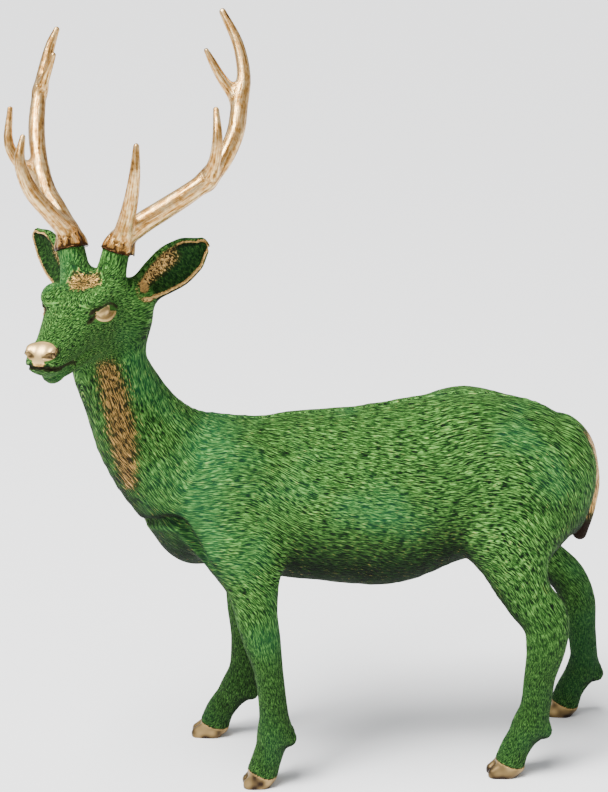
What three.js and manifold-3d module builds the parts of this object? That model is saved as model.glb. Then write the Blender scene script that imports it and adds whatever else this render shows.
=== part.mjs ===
// A standing stag in cast resin: one hollow-cast body with its head turned to its left, and two antlers
// that plug on to the pedicles. The stag looks along -X, its left side is -Y, and it stands on z = 0.
// The form is worked like clay: lumps and rolls are pressed together, a skin is drawn round them and
// thinned to few faces, and the soles and antler seats are then cut flat.
import * as THREE from "three";
import Module from "manifold-3d";
import { mergeVertices } from "three/addons/utils/BufferGeometryUtils.js";

// Driving dimensions, in millimetres and degrees.
const HEAD_TURN = 65; // the face turns this far from straight ahead to the stag's left
const NOSE_DROP = 15; // and dips this far below the horizontal
const BETWEEN_EYES = [-181.3, -42, 406.7];
const SEAT_GAP = 0.3; // between a pedicle's flat top and its antler
const FOOTPRINT_CENTRE = [21, 1.6]; // middle of the whole stag, which becomes x = 0, y = 0
const BODY_FACES = 7400;
const ANTLER_FACES = 1050;

// Clay. A lump is { centre, reach, depth, blend, cut }: depth(x, y, z) is negative inside it, blend is the
// width of the fillet where it meets what is already there, and a cut lump is taken away.
const mix = THREE.MathUtils.lerp;
const smoothMin = (a, b, k) => {
  const h = Math.max(k - Math.abs(a - b), 0) / k;
  return Math.min(a, b) - (h * h * k) / 4;
};

// How far a point lies outside an ellipsoid of radii a, b, c, near its surface.
const roundDepth = (u, v, w, a, b, c) => {
  const far = Math.hypot(u / a, v / b, w / c);
  const steep = Math.hypot(u / (a * a), v / (b * b), w / (c * c));
  return steep > 0 ? (far * (far - 1)) / steep : -Math.min(a, b, c);
};

// An egg of clay, turned about X, then Y, then Z.
function egg(centre, radii, blend, turn = [0, 0, 0]) {
  const euler = new THREE.Euler(...turn.map(THREE.MathUtils.degToRad), "ZYX");
  const m = new THREE.Matrix4().makeRotationFromEuler(euler).elements;
  const depth = (x, y, z) => {
    const [dx, dy, dz] = [x - centre[0], y - centre[1], z - centre[2]];
    const u = m[0] * dx + m[1] * dy + m[2] * dz;
    const v = m[4] * dx + m[5] * dy + m[6] * dz;
    const w = m[8] * dx + m[9] * dy + m[10] * dz;
    return roundDepth(u, v, w, ...radii);
  };
  return { centre, reach: Math.max(...radii), depth, blend };
}

// A roll of clay along a smooth curve. Each station is [x, y, z, radius along side, radius across it].
function roll(stations, blend, side = [0, 1, 0]) {
  const STEPS = 4;
  const line = new THREE.CatmullRomCurve3(stations.map((s) => new THREE.Vector3(...s.slice(0, 3))));
  const girth = new THREE.CatmullRomCurve3(stations.map((s) => new THREE.Vector3(s[3], s[4] ?? s[3], 0)));
  const count = (stations.length - 1) * STEPS;
  const pieces = [];
  for (let i = 0; i < count; i++) {
    const [a, b] = [line.getPoint(i / count), line.getPoint((i + 1) / count)];
    const [ga, gb] = [girth.getPoint(i / count), girth.getPoint((i + 1) / count)];
    const along = b.clone().sub(a);
    const length = along.length();
    along.normalize();
    const across = new THREE.Vector3().crossVectors(along, new THREE.Vector3(...side)).normalize();
    const level = new THREE.Vector3().crossVectors(across, along);
    pieces.push({ a, along, across, level, length, ga, gb });
  }
  const depth = (x, y, z) => {
    let nearest = Infinity;
    let best = null;
    let share = 0;
    for (const p of pieces) {
      const [dx, dy, dz] = [x - p.a.x, y - p.a.y, z - p.a.z];
      const t = Math.min(Math.max((dx * p.along.x + dy * p.along.y + dz * p.along.z) / p.length, 0), 1);
      const s = t * p.length;
      const ex = dx - s * p.along.x;
      const ey = dy - s * p.along.y;
      const ez = dz - s * p.along.z;
      const d = ex * ex + ey * ey + ez * ez;
      if (d < nearest) {
        nearest = d;
        best = p;
        share = t;
      }
    }
    const s = share * best.length;
    const dx = x - best.a.x - s * best.along.x;
    const dy = y - best.a.y - s * best.along.y;
    const dz = z - best.a.z - s * best.along.z;
    const u = dx * best.level.x + dy * best.level.y + dz * best.level.z;
    const v = dx * best.across.x + dy * best.across.y + dz * best.across.z;
    const w = dx * best.along.x + dy * best.along.y + dz * best.along.z;
    const ru = mix(best.ga.x, best.gb.x, share);
    const rv = mix(best.ga.y, best.gb.y, share);
    return roundDepth(u, v, w, ru, rv, Math.min(ru, rv));
  };
  const box = new THREE.Box3().setFromPoints(line.getPoints(count));
  const ball = box.getBoundingSphere(new THREE.Sphere());
  const thickest = Math.max(...stations.map((s) => Math.max(s[3], s[4] ?? s[3])));
  return { centre: ball.center.toArray(), reach: ball.radius + thickest, depth, blend };
}

const taken = (lump) => ({ ...lump, cut: true });

// The depth of many lumps pressed together, one after another.
function pressed(lumps) {
  return (x, y, z) => {
    let d = 1e3;
    for (const l of lumps) {
      const away = Math.hypot(x - l.centre[0], y - l.centre[1], z - l.centre[2]) - l.reach;
      if (l.cut) {
        if (away < 2 * l.blend) d = -smoothMin(-d, l.depth(x, y, z), l.blend);
      } else if (away < d + l.blend) d = smoothMin(d, l.depth(x, y, z), l.blend);
    }
    return d;
  };
}

// The trunk, from the breast to the rump: stations are [x, y, z, half width, half height].
function trunk() {
  const barrel = roll(
    [
      [-92, 0, 241, 37, 49],
      [-60, 0, 243, 45, 60],
      [-20, 0, 239.5, 52, 70],
      [22, 0, 237, 57, 74],
      [65, 0, 236.5, 59, 78],
      [105, 0, 246.5, 56, 74],
      [145, 0, 253, 51, 70.5],
      [185, 0, 255.5, 45, 60.5],
      [210, 0, 254, 37, 49],
    ],
    1,
  );
  const neck = roll(
    [
      [-74, 0, 251, 42, 53],
      [-106, 0, 268, 37, 51],
      [-130, 0, 294, 31, 42],
      [-146, -1, 325, 26, 34],
      [-157, -3, 354, 23, 31],
      [-158, -6, 386, 22, 30],
    ],
    22,
  );
  const nape = egg([-146, -5, 398], [23, 25, 22], 18);
  const brisket = egg([-89, 0, 214], [30, 25, 31], 18);
  const tail = roll(
    [
      [220, 0, 290, 8, 7],
      [237, 0, 273, 9, 7],
      [244.5, 0, 246, 10, 7],
      [242, 0, 218, 9, 7],
      [236.5, 0, 196, 8, 6.5],
    ],
    6,
  );
  return [barrel, neck, nape, brisket, tail];
}

// The muscles of one side: side is -1 on the stag's left and 1 on its right.
function flank(side) {
  return [
    egg([-64, side * 33, 246], [30, 15, 50], 16, [0, 18, 0]), // shoulder blade
    egg([-52, side * 38, 206], [31, 16, 32], 16), // upper arm
    egg([182, side * 30, 240], [42, 22, 56], 18, [0, -14, 0]), // haunch
    egg([154, side * 38, 208], [25, 15, 32], 16, [0, -20, 0]), // stifle
    egg([138, side * 25, 301], [26, 13, 16], 22), // point of the hip
    egg([221, side * 17, 244], [19, 17, 44], 12), // buttock
  ];
}

// The crease that parts the brisket from the neck and the shoulder, on one side.
function crease(side) {
  const path = [
    [-134, 4, 222, 3],
    [-124, 26, 227, 4],
    [-116, 33, 230, 4.5],
    [-105, 39, 230, 5],
    [-97, 41, 218, 5],
    [-87, 44, 203, 4.5],
    [-78, 49, 193, 3],
  ];
  return taken(roll(path.map(([x, y, z, r]) => [x, side * y, z, r]), 3));
}

// A cloven foot: pastern, two toes that end below z = 0, and two dewclaws behind the fetlock.
function foot(fetlock, toeTip, length) {
  const heading = new THREE.Vector3(toeTip[0] - fetlock[0], toeTip[1] - fetlock[1], 0).normalize();
  const out = new THREE.Vector3(-heading.y, heading.x, 0);
  const tip = new THREE.Vector3(toeTip[0], toeTip[1], 0);
  const ankle = new THREE.Vector3(...fetlock);
  const at = (base, forward, sideways, up) =>
    base.clone().addScaledVector(heading, forward).addScaledVector(out, sideways).setZ(base.z + up).toArray();
  const level = out.toArray();
  const lumps = [
    roll(
      [
        [...fetlock, 11.5, 13],
        [...at(tip, -length * 0.72, 0, 25), 11, 12.5],
        [...at(tip, -length * 0.6, 0, 13), 11.5, 13],
      ],
      8,
      level,
    ),
  ];
  for (const toe of [-1, 1]) {
    lumps.push(
      roll(
        [
          [...at(tip, -length * 0.72, toe * 4.6, 11), 5.8, 8],
          [...at(tip, -length * 0.5, toe * 5.2, 6), 6.2, 10],
          [...at(tip, -length * 0.2, toe * 4.4, 1), 5, 7],
        ],
        2.5,
        level,
      ),
    );
    lumps.push(egg(at(ankle, -12, toe * 5, -4), [5.5, 4, 7], 4));
  }
  return lumps;
}

// Fore and hind legs: stations are [x, y, z, half width, half depth], from the trunk to the fetlock.
function leg(stations, toeTip, hoof) {
  const fetlock = stations.at(-1).slice(0, 3);
  return [roll(stations, 12), ...foot(fetlock, toeTip, hoof)];
}

function legs() {
  const leftFore = leg(
    [
      [-53, -38, 205, 17, 28],
      [-47, -44, 176, 15, 22],
      [-44, -47, 150, 13, 17.5],
      [-39, -48, 126, 12.5, 15.5],
      [-34, -49, 100, 10, 12],
      [-31, -49, 72, 10, 12],
      [-29, -49, 47, 11.5, 13.5],
    ],
    [-57, -49],
    29,
  );
  const rightFore = leg(
    [
      [-55, 38, 205, 17, 28],
      [-50, 42, 176, 15, 22],
      [-48, 43, 148, 13, 17],
      [-48, 43, 122, 12.5, 15],
      [-48, 43, 96, 10, 12],
      [-49, 43, 70, 10, 12],
      [-53, 45, 47, 11.5, 14.5],
    ],
    [-98, 51],
    40,
  );
  const leftHind = leg(
    [
      [170, -40, 208, 20, 36],
      [172, -46, 182, 16, 27],
      [181, -50, 160, 13, 21],
      [196, -53, 138, 12, 20],
      [197, -54, 114, 11, 17],
      [193, -53, 88, 10, 13.5],
      [191, -53, 66, 10, 13],
      [187, -53, 45, 11.5, 14.5],
    ],
    [149, -52],
    36,
  );
  const rightHind = leg(
    [
      [190, 36, 208, 20, 34],
      [200, 42, 182, 16, 21],
      [218, 46, 160, 13, 16.5],
      [242, 49, 136, 12, 16.5],
      [253, 50, 112, 11, 15.5],
      [257, 50, 86, 10, 13],
      [260, 50, 64, 10, 12.5],
      [262, 53, 46, 11.5, 13.5],
    ],
    [228, 58],
    31,
  );
  return [...leftFore, ...rightFore, ...leftHind, ...rightHind];
}

// The head is worked in a frame of its own, from the point between the eyes: forward to the nose, left
// and up.
const turn = THREE.MathUtils.degToRad(90 - HEAD_TURN);
const drop = THREE.MathUtils.degToRad(NOSE_DROP);
const facing = new THREE.Vector3(-Math.sin(turn), -Math.cos(turn), 0);
const UP = new THREE.Vector3(0, 0, 1);
const leftward = new THREE.Vector3().crossVectors(UP, facing);
const forward = facing.clone().multiplyScalar(Math.cos(drop)).addScaledVector(UP, -Math.sin(drop));
const upward = new THREE.Vector3().crossVectors(forward, leftward);
const headFrame = new THREE.Matrix4().makeBasis(forward, leftward, upward).setPosition(...BETWEEN_EYES);
const onHead = (f, l, u) => new THREE.Vector3(f, l, u).applyMatrix4(headFrame).toArray();
const toHead = headFrame.clone().invert().elements;
const offHead = (x, y, z) =>
  [0, 1, 2].map((n) => toHead[n] * x + toHead[n + 4] * y + toHead[n + 8] * z + toHead[n + 12]);

const PEDICLE_FOOT = [-34, 13, 6];
const PEDICLE_TOP = [-46, 20, 30.5];
const EAR_ROOT = [-43, 26, -9];
const EAR_TIP = [-91, 78, 23];

// One half of the head, for a point whose sideways distance is taken as positive.
function halfHead() {
  const skull = roll(
    [
      [-40, 0, -6, 24, 22],
      [-18, 0, -6, 28.5, 22.5],
      [2, 0, -7, 26.5, 21],
      [22, 0, -9, 21, 17.5],
      [42, 0, -11, 15.5, 15],
      [56, 0, -11.5, 13.5, 13.5],
    ],
    1,
  );
  const jaw = roll(
    [
      [-16, 0, -30, 16, 14],
      [10, 0, -31, 12.5, 10],
      [34, 0, -29.5, 9.5, 8],
      [51, 0, -26.5, 8, 6.5],
    ],
    6,
  );
  const lumps = [
    skull,
    jaw,
    egg([-12, 14, -20], [21, 11, 17], 10), // cheek
    egg([-4, 20.5, 11.5], [14, 8.5, 6], 7, [0, 8, -12]), // brow
    taken(egg([2.5, 27.5, 2.5], [12, 6.5, 7.4], 1.5)), // eye socket
    egg([0.5, 18.3, 2.5], [10.5, 8, 7], 0.5), // eyeball
    roll([[...PEDICLE_FOOT, 14.5], [-40, 17, 22, 11.5], [-48, 22, 42, 11]], 7, [1, 0, 0]), // pedicle
    ...ear(),
    egg([59.5, 9, -3.5], [7.5, 5.5, 5], 3), // wing of the nose
    taken(roll([[66, 5, -6, 1.8], [61, 9.5, -5.5, 2.9], [55.5, 12.5, -3, 1.8]], 1, [0, 0, 1])), // nostril
  ];
  return lumps;
}

// The ear is a leaf-shaped cup: a roll along its length, hollowed from the front.
function ear() {
  const root = new THREE.Vector3(...EAR_ROOT);
  const tip = new THREE.Vector3(...EAR_TIP);
  const along = tip.clone().sub(root).normalize();
  const open = new THREE.Vector3(0.9, 0.42, 0.12);
  open.addScaledVector(along, -open.dot(along)).normalize();
  const across = new THREE.Vector3().crossVectors(open, along);
  const at = (share, out) => root.clone().lerp(tip, share).addScaledVector(open, out).toArray();
  const shell = roll(
    [
      [...at(-0.1, -3), 12, 10],
      [...at(0.12, -3), 12, 9],
      [...at(0.34, -4), 16, 9],
      [...at(0.56, -4), 18.5, 9],
      [...at(0.78, -3), 15.5, 7.5],
      [...at(0.94, -1), 7, 4],
    ],
    7,
    across.toArray(),
  );
  const hollow = roll(
    [
      [...at(0.12, 5), 6, 6],
      [...at(0.34, 5), 12.5, 9.5],
      [...at(0.56, 5), 15.5, 10.5],
      [...at(0.78, 4), 12.5, 8.5],
      [...at(0.9, 3), 5, 5],
    ],
    2,
    across.toArray(),
  );
  return [shell, taken(hollow)];
}

function head() {
  const half = pressed(halfHead());
  const depth = (x, y, z) => {
    const [f, l, u] = offHead(x, y, z);
    return half(f, Math.abs(l), u);
  };
  return { centre: onHead(-15, 0, 0), reach: 125, depth, blend: 14 };
}

// The antlers, in the head's frame: each station is [forward, left, up, radius]. The two are alike but not
// mirrored: the left one spreads wider and stands higher.
const LEFT_ANTLER = {
  seat: PEDICLE_TOP,
  beam: [
    [-47, 21, 37, 8.8],
    [-59, 36, 49, 8.8],
    [-72, 53, 58, 8.5],
    [-85, 70, 67, 8],
    [-97, 81, 74, 7.6],
    [-110, 90, 85, 7.4],
    [-126, 96, 101, 7.2],
    [-145, 95, 120, 7],
    [-159, 95, 137, 5.8],
    [-173, 87, 159, 4.8],
    [-183, 73, 181, 3],
  ],
  tines: [
    // brow
    [[-47, 24, 42, 7.6], [-43, 37, 70, 6.2], [-41, 46, 97, 4.6], [-49, 47, 118, 2.6]],
    // trez
    [[-96, 80, 72, 6.6], [-94, 90, 91, 5], [-97, 93, 108, 4.2], [-110, 89, 126, 2.6]],
    // fork
    [[-147, 92, 122, 5.6], [-149, 80, 138, 4.2], [-151, 73, 150, 3.4], [-153, 68, 159, 2.2]],
  ],
};
const RIGHT_ANTLER = {
  seat: [PEDICLE_TOP[0], -PEDICLE_TOP[1], PEDICLE_TOP[2]],
  beam: [
    [-47, -19, 38, 8.8],
    [-59, -34, 55, 8.6],
    [-76, -51, 67, 7.8],
    [-96, -64, 84, 7],
    [-120, -75, 103, 7],
    [-143, -80, 124, 5.9],
    [-157, -79, 141, 5.3],
    [-168, -76, 157, 4.3],
    [-174, -72, 167, 2.8],
  ],
  tines: [
    // brow
    [[-47, -22, 45, 7.6], [-41, -32, 64, 6.8], [-38, -43, 83, 6.2], [-40, -49, 106, 4.6], [-49, -48, 122, 2.4]],
    // trez
    [[-88, -62, 77, 6], [-91, -78, 81, 5.4], [-94, -88, 97, 4.2], [-109, -90, 122, 2.4]],
    // fork
    [[-144, -80, 124, 4.6], [-144, -72, 138, 3.8], [-149, -65, 154, 2.4]],
  ],
};

// A burr is the fluted collar at an antler's foot.
function antlerClay({ seat, beam, tines }) {
  const [f, l, u] = seat;
  const lean = Math.sign(l);
  return [
    roll([[f + 1, l - lean, u - 6, 9], ...beam], 1, [1, 0, 0]),
    ...tines.map((tine) => roll(tine, 6, [1, 0, 0])),
    roll([[f + 1.5, l - lean, u - 5, 13.5], [f, l, u + 2, 13.5]], 4, [1, 0, 0]),
  ];
}

// A closed mesh round the clay where its depth crosses zero, by marching through the six
// tetrahedra of each cell of a grid. xs, ys and zs are the grid's planes.
function skin(depth, xs, ys, zs) {
  const [nx, ny, nz] = [xs.length, ys.length, zs.length];
  const id = (i, j, k) => (i * ny + j) * nz + k;
  const value = new Float64Array(nx * ny * nz);
  // Blocks of the grid that lie well clear of the surface are filled in at once.
  const BLOCK = 4;
  for (let i = 0; i < nx; i += BLOCK)
    for (let j = 0; j < ny; j += BLOCK)
      for (let k = 0; k < nz; k += BLOCK) {
        const last = [Math.min(i + BLOCK, nx), Math.min(j + BLOCK, ny), Math.min(k + BLOCK, nz)];
        const span = [xs[last[0] - 1] - xs[i], ys[last[1] - 1] - ys[j], zs[last[2] - 1] - zs[k]];
        const middle = depth(xs[i] + span[0] / 2, ys[j] + span[1] / 2, zs[k] + span[2] / 2);
        const clear = Math.abs(middle) > 1.2 * Math.hypot(...span);
        for (let p = i; p < last[0]; p++)
          for (let q = j; q < last[1]; q++)
            for (let r = k; r < last[2]; r++)
              value[id(p, q, r)] = clear ? middle : depth(xs[p], ys[q], zs[r]) || 1e-6;
      }
  const points = [];
  const found = new Map();
  const place = (n) => [xs[Math.floor(n / (ny * nz))], ys[Math.floor(n / nz) % ny], zs[n % nz]];
  const crossing = (a, b) => {
    const key = a < b ? a * value.length + b : b * value.length + a;
    if (!found.has(key)) {
      const t = Math.min(Math.max(value[a] / (value[a] - value[b]), 0.03), 0.97);
      const [p, q] = [place(a), place(b)];
      found.set(key, points.length);
      points.push([mix(p[0], q[0], t), mix(p[1], q[1], t), mix(p[2], q[2], t)]);
    }
    return found.get(key);
  };
  const faces = [];
  const corners = [];
  const PATHS = [[4, 6], [6, 2], [2, 3], [3, 1], [1, 5], [5, 4]]; // the ways from corner 0 to 7 along edges
  const tetrahedron = (t) => {
    const inside = t.filter((n) => value[n] < 0);
    const outside = t.filter((n) => value[n] >= 0);
    if (!inside.length || !outside.length) return;
    const put = (a, b, c) => {
      const [p, q, r] = [points[a], points[b], points[c]];
      const [u, v] = [q.map((x, n) => x - p[n]), r.map((x, n) => x - p[n])];
      const normal = [u[1] * v[2] - u[2] * v[1], u[2] * v[0] - u[0] * v[2], u[0] * v[1] - u[1] * v[0]];
      const [from, to] = [place(inside[0]), place(outside[0])];
      const facing = normal.reduce((sum, x, n) => sum + x * (to[n] - from[n]), 0);
      faces.push(facing > 0 ? [a, b, c] : [a, c, b]);
    };
    if (inside.length === 2) {
      const [a, b] = inside;
      const [c, d] = outside;
      const [ac, ad, bc, bd] = [crossing(a, c), crossing(a, d), crossing(b, c), crossing(b, d)];
      put(ac, ad, bd);
      put(ac, bd, bc);
    } else {
      const lone = inside.length === 1 ? inside[0] : outside[0];
      put(...t.filter((n) => n !== lone).map((n) => crossing(lone, n)));
    }
  };
  for (let i = 0; i + 1 < nx; i++)
    for (let j = 0; j + 1 < ny; j++)
      for (let k = 0; k + 1 < nz; k++) {
        let below = 0;
        for (let n = 0; n < 8; n++) {
          corners[n] = id(i + (n >> 2), j + ((n >> 1) & 1), k + (n & 1));
          if (value[corners[n]] < 0) below++;
        }
        if (below === 0 || below === 8) continue;
        for (const [a, b] of PATHS) tetrahedron([corners[0], corners[a], corners[b], corners[7]]);
      }
  return { points, faces };
}

// Thins a closed mesh to so many faces, by merging the two ends of the edge that bends the surface least.
function thinned({ points, faces }, target) {
  const planes = points.map(() => new Float64Array(10));
  const around = points.map(() => new Set());
  const alive = faces.map(() => true);
  const normalOf = ([a, b, c], move = -1, spot = null) => {
    const [p, q, r] = [a, b, c].map((n) => (n === move ? spot : points[n]));
    const [u, v] = [q.map((x, n) => x - p[n]), r.map((x, n) => x - p[n])];
    return [u[1] * v[2] - u[2] * v[1], u[2] * v[0] - u[0] * v[2], u[0] * v[1] - u[1] * v[0]];
  };
  faces.forEach((f, n) => {
    const normal = normalOf(f);
    const area = Math.hypot(...normal);
    f.forEach((v) => around[v].add(n));
    if (!area) return;
    const [a, b, c] = normal.map((x) => x / area);
    const d = -(a * points[f[0]][0] + b * points[f[0]][1] + c * points[f[0]][2]);
    const terms = [a * a, a * b, a * c, a * d, b * b, b * c, b * d, c * c, c * d, d * d];
    for (const v of f) terms.forEach((t, i) => (planes[v][i] += (t * area) / 2));
  });
  const errorAt = (q, [x, y, z]) =>
    q[0] * x * x + 2 * q[1] * x * y + 2 * q[2] * x * z + 2 * q[3] * x + q[4] * y * y +
    2 * q[5] * y * z + 2 * q[6] * y + q[7] * z * z + 2 * q[8] * z + q[9];
  const merge = (a, b) => {
    const q = planes[a].map((x, i) => x + planes[b][i]);
    const m = new THREE.Matrix3().set(q[0], q[1], q[2], q[1], q[4], q[5], q[2], q[5], q[7]);
    const middle = points[a].map((x, i) => (x + points[b][i]) / 2);
    const span = Math.hypot(...points[a].map((x, i) => x - points[b][i]));
    const spots = [middle, points[a], points[b]];
    if (Math.abs(m.determinant()) > 1e-4 * Math.max(q[0], q[4], q[7]) ** 3) {
      const best = new THREE.Vector3(-q[3], -q[6], -q[8]).applyMatrix3(m.invert()).toArray();
      if (Math.hypot(...best.map((x, i) => x - middle[i])) < span) spots.unshift(best);
    }
    const errors = spots.map((s) => errorAt(q, s));
    const least = errors.indexOf(Math.min(...errors));
    return { a, b, spot: spots[least], cost: Math.max(errors[least], 0) + 1e-5 * span ** 4 };
  };
  const neighbours = (v) => {
    const set = new Set();
    for (const n of around[v]) for (const w of faces[n]) if (w !== v) set.add(w);
    return set;
  };
  const heap = [];
  const swap = (i, j) => ([heap[i], heap[j]] = [heap[j], heap[i]]);
  const push = (item) => {
    let i = heap.push(item) - 1;
    while (i && heap[i].cost < heap[(i - 1) >> 1].cost) {
      swap(i, (i - 1) >> 1);
      i = (i - 1) >> 1;
    }
  };
  const pop = () => {
    swap(0, heap.length - 1);
    const top = heap.pop();
    const cheaper = (i, j) => (j < heap.length && heap[j].cost < heap[i].cost ? j : i);
    let i = 0;
    let next = cheaper(cheaper(i, 1), 2);
    while (next !== i) {
      swap(i, next);
      i = next;
      next = cheaper(cheaper(i, 2 * i + 1), 2 * i + 2);
    }
    return top;
  };
  const version = new Int32Array(points.length);
  const offer = (a, b) => push({ ...merge(a, b), stamp: version[a] + version[b] });
  faces.forEach((f) => f.forEach((a, i) => a < f[(i + 1) % 3] && offer(a, f[(i + 1) % 3])));
  let left = faces.length;
  while (left > target && heap.length) {
    const { a, b, spot, stamp } = pop();
    if (stamp !== version[a] + version[b] || !around[a].size || !around[b].size) continue;
    const shared = [...around[a]].filter((n) => around[b].has(n));
    const nb = neighbours(b);
    if (shared.length !== 2 || [...neighbours(a)].filter((v) => nb.has(v)).length !== 2) continue;
    const turns = (v, n) => {
      if (shared.includes(n)) return false;
      const [before, after] = [normalOf(faces[n]), normalOf(faces[n], v, spot)];
      const dot = before.reduce((sum, x, i) => sum + x * after[i], 0);
      return dot < 0.3 * Math.hypot(...before) * Math.hypot(...after);
    };
    if ([...around[a]].some((n) => turns(a, n)) || [...around[b]].some((n) => turns(b, n))) continue;
    for (const n of shared) {
      alive[n] = false;
      faces[n].forEach((v) => around[v].delete(n));
    }
    left -= 2;
    for (const n of around[b]) {
      faces[n] = faces[n].map((v) => (v === b ? a : v));
      around[a].add(n);
    }
    around[b].clear();
    points[a] = spot;
    planes[a] = planes[a].map((x, i) => x + planes[b][i]);
    version[a]++;
    for (const v of neighbours(a)) offer(a, v);
  }
  const used = new Map();
  const kept = faces.filter((_, n) => alive[n]);
  const slim = kept.map((f) => f.map((v) => used.get(v) ?? used.set(v, used.size).get(v)));
  return { points: [...used.keys()].map((v) => points[v]), faces: slim };
}

// Every so many millimetres from low to high.
const every = (low, high, step) => {
  const count = Math.ceil((high - low) / step);
  return Array.from({ length: count + 1 }, (_, n) => mix(low, high, n / count));
};

// Solids, so that soles and seats can be cut truly flat.
const wasm = await Module();
wasm.setup();

const solidOf = (vertProperties, triVerts) =>
  new wasm.Manifold(new wasm.Mesh({ numProp: 3, vertProperties, triVerts }));

const solidSkin = ({ points, faces }) =>
  solidOf(new Float32Array(points.flat()), new Uint32Array(faces.flat()));

// A cutter made of a simple geometry that stands on z = 0. It is set on a point and its Z turned along out.
function cutter(geometry, point, out) {
  geometry.applyQuaternion(new THREE.Quaternion().setFromUnitVectors(UP, out.clone().normalize()));
  geometry.translate(point.x, point.y, point.z);
  geometry.deleteAttribute("normal");
  geometry.deleteAttribute("uv");
  const merged = mergeVertices(geometry);
  return solidOf(merged.attributes.position.array, new Uint32Array(merged.index.array));
}

// Everything beyond a plane.
function beyond(point, out) {
  const SIZE = 600;
  return cutter(new THREE.BoxGeometry(SIZE, SIZE, SIZE).translate(0, 0, SIZE / 2), point, out);
}

function meshOf(solid, name, material) {
  const { vertProperties, triVerts } = solid.getMesh();
  const geometry = new THREE.BufferGeometry()
    .setAttribute("position", new THREE.BufferAttribute(vertProperties, 3))
    .setIndex(new THREE.BufferAttribute(triVerts, 1));
  const made = new THREE.Mesh(geometry.toNonIndexed(), material);
  made.geometry.computeVertexNormals();
  made.name = name;
  return made;
}

// A pedicle's axis, from the skull to the antler, in the part's frame.
const pedicleAxis = (side) => {
  const foot = new THREE.Vector3(...onHead(PEDICLE_FOOT[0], side * PEDICLE_FOOT[1], PEDICLE_FOOT[2]));
  const top = new THREE.Vector3(...onHead(PEDICLE_TOP[0], side * PEDICLE_TOP[1], PEDICLE_TOP[2]));
  return { top, axis: top.clone().sub(foot).normalize() };
};

function bodySolid() {
  const depth = pressed([...trunk(), ...flank(-1), ...flank(1), crease(-1), crease(1), ...legs(), head()]);
  const xs = [...every(-232, -70, 3), ...every(-70, 290, 5).slice(1)];
  const ys = every(-122, 92, 3.5);
  const zs = [...every(-12, 330, 5), ...every(330, 486, 3).slice(1)];
  let solid = solidSkin(thinned(skin(depth, xs, ys, zs), BODY_FACES));
  solid = solid.subtract(beyond(new THREE.Vector3(), UP.clone().negate()));
  for (const side of [-1, 1]) {
    const { top, axis } = pedicleAxis(side);
    const above = new THREE.CylinderGeometry(17, 17, 40, 24).rotateX(Math.PI / 2).translate(0, 0, 20);
    solid = solid.subtract(cutter(above, top, axis));
  }
  return solid;
}

function antlerSolid(shape) {
  const inHead = pressed(antlerClay(shape));
  const depth = (x, y, z) => inHead(...offHead(x, y, z));
  const { top, axis } = pedicleAxis(Math.sign(shape.seat[1]));
  const box = new THREE.Box3().setFromPoints([top]);
  for (const [f, l, u] of [...shape.beam, ...shape.tines.flat()]) {
    box.expandByPoint(new THREE.Vector3(...onHead(f, l, u)));
  }
  box.expandByScalar(20);
  const [xs, ys, zs] = ["x", "y", "z"].map((c) => every(box.min[c], box.max[c], 2.6));
  const solid = solidSkin(thinned(skin(depth, xs, ys, zs), ANTLER_FACES));
  const seat = top.clone().addScaledVector(axis, SEAT_GAP);
  return solid.subtract(beyond(seat, axis.clone().negate()));
}

const greenPaint = new THREE.MeshStandardMaterial({ color: 0x3f8f3f, roughness: 0.55, metalness: 0 });
const goldPaint = new THREE.MeshStandardMaterial({ color: 0xb08d4f, roughness: 0.35, metalness: 0.8 });

const stag = new THREE.Group();
stag.position.set(-FOOTPRINT_CENTRE[0], -FOOTPRINT_CENTRE[1], 0);
stag.add(meshOf(bodySolid(), "stag_body", greenPaint));
stag.add(meshOf(antlerSolid(LEFT_ANTLER), "antler_left", goldPaint));
stag.add(meshOf(antlerSolid(RIGHT_ANTLER), "antler_right", goldPaint));

export default stag;
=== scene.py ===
import math

import bmesh
import bpy
import numpy as np
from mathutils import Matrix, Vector
from mathutils.kdtree import KDTree


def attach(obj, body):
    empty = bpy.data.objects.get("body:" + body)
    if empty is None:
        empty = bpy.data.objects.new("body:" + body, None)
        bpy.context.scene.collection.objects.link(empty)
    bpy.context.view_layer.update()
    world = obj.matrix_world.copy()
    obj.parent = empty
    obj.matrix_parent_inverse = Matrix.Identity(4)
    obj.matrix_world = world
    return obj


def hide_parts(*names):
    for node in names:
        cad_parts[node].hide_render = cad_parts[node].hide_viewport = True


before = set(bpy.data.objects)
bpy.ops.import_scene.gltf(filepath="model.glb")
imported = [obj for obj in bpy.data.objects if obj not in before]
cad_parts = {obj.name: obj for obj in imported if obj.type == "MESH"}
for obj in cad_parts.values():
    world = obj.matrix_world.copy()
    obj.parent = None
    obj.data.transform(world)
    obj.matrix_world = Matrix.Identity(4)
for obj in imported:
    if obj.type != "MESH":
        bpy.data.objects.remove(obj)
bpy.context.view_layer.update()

# The body is one hollow resin casting. The sculptor's model was built up in clay, lump by lump, and the
# same lumps are pressed together here: each egg or roll is a depth in millimetres, negative inside it.
ORIGIN = np.array([21.0, 1.6, 0.0])  # the modelling origin is this far from the middle of the footprint


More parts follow.
